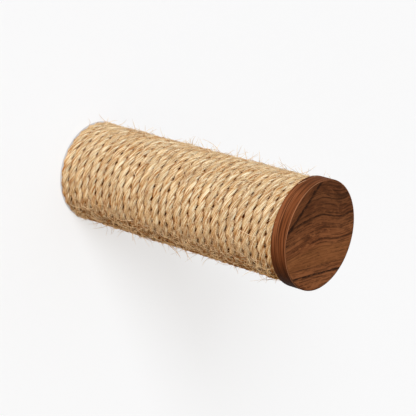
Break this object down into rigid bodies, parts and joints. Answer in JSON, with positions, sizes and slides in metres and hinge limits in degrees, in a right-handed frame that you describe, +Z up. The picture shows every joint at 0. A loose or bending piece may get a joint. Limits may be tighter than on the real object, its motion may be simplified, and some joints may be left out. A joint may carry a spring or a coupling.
{
  "type": "wall-mounted cat perch",
  "caption": "Round perch peg for a cat that stands straight out of a wall: a post wound with sisal rope, closed at its free end by a walnut disc.",
  "frame": {"origin": "centre of the post's wall end, on the plane of the wall", "axes": "+Y into the wall, so the peg stands out along -Y; +Z up; +X level, to the right for someone who faces the wall"},
  "size_m": [0.112, 0.305, 0.112],
  "materials": {
    "pine": "turned, unfinished",
    "sisal": "three-strand natural fibre rope",
    "walnut": "oiled, satin",
    "beech": "unfinished",
    "insert_brass": "turned",
    "black_steel": "black powder coat",
    "zinc_steel": "bright zinc plate"
  },
  "bodies": {
    "root": {"post_core": "pine", "sisal_rope": "sisal", "rope_end_screws": "zinc_steel", "end_cap": "walnut", "cap_dowels": "beech", "threaded_insert": "insert_brass", "wall_flange": "black_steel", "flange_bolt": "zinc_steel", "lock_washer": "zinc_steel", "lock_nut": "zinc_steel"}
  },
  "joints": []
}
